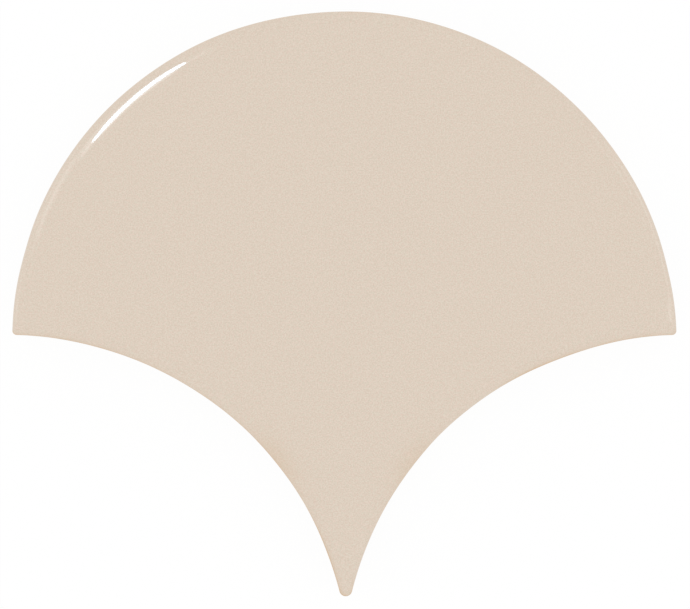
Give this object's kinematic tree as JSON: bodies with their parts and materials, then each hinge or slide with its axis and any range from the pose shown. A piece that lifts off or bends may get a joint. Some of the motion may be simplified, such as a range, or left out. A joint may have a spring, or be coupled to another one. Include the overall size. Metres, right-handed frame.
{
  "type": "fish scale tile",
  "caption": "Glazed ceramic wall tile shaped like a fish scale: a round crown, hollow flanks that take the neighbouring crowns, a tip, a rolled edge and a keyed back.",
  "frame": {"origin": "centre of the tile's footprint, on the plane of its back", "axes": "+X across the tile from horn to horn, +Y towards the top of the crown, +Z out of the glazed face"},
  "size_m": [0.12, 0.1058, 0.009],
  "materials": {
    "glaze": "gloss"
  },
  "bodies": {
    "root": {"fish_scale_tile": "glaze"}
  },
  "joints": []
}
